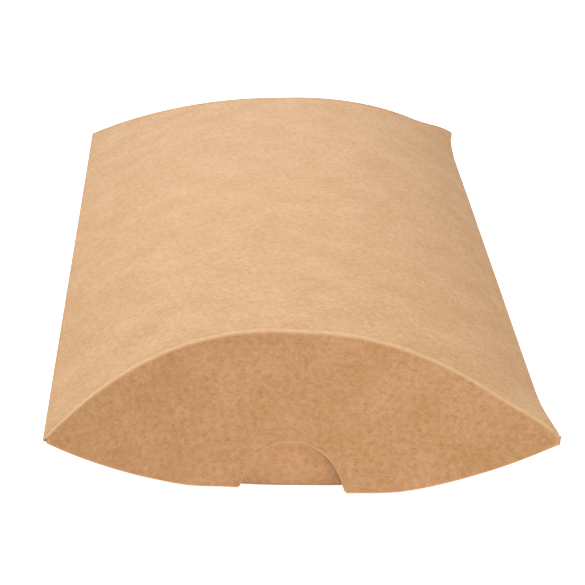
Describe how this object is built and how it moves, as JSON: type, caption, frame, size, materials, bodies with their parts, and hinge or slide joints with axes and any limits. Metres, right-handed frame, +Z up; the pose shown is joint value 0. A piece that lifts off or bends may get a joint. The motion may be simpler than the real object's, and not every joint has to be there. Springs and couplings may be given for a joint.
{
  "type": "pillow box",
  "caption": "Flat-packing pillow box of kraft board with bowed panels and curved flaps that close each end, the outer one with a thumb notch.",
  "frame": {"origin": "centre of the box's bounding box at its base, on the surface that the box lies on", "axes": "+Y along the length of the box towards its rear end, +X across the width towards the glued seam, +Z up"},
  "size_m": [0.08, 0.16, 0.0272],
  "materials": {
    "kraft_face": "matte kraft board, outer face",
    "kraft_back": "matte kraft board, inner face",
    "kraft_fold": "pressed and rubbed kraft board",
    "dried_glue": "dried white glue"
  },
  "bodies": {
    "shell": {"top_panel": "kraft_face", "bottom_panel": "kraft_face", "side_fold": "kraft_fold", "seam_fold": "kraft_fold", "glue_flap": "kraft_back", "glue_line": "dried_glue", "front_top_crease": "kraft_fold", "front_bottom_crease": "kraft_fold", "rear_top_crease": "kraft_fold", "rear_bottom_crease": "kraft_fold"},
    "front_outer": {"front_outer_flap": "kraft_face"},
    "front_inner": {"front_inner_flap": "kraft_face"},
    "rear_outer": {"rear_outer_flap": "kraft_face"},
    "rear_inner": {"rear_inner_flap": "kraft_face"}
  },
  "joints": [
    {"name": "front_outer_hinge", "type": "hinge", "parent": "shell", "child": "front_outer", "pos_m": [0, -0.0664, 0.0272], "axis": [-1, 0, 0], "range_deg": [0, 90]},
    {"name": "front_inner_hinge", "type": "hinge", "parent": "shell", "child": "front_inner", "pos_m": [0, -0.06535, 0], "axis": [1, 0, 0], "range_deg": [0, 90], "deforming": ["front_inner_flap"]},
    {"name": "rear_outer_hinge", "type": "hinge", "parent": "shell", "child": "rear_outer", "pos_m": [0, 0.0664, 0.0272], "axis": [1, 0, 0], "range_deg": [0, 90]},
    {"name": "rear_inner_hinge", "type": "hinge", "parent": "shell", "child": "rear_inner", "pos_m": [0, 0.06535, 0], "axis": [-1, 0, 0], "range_deg": [0, 90], "deforming": ["rear_inner_flap"]}
  ]
}
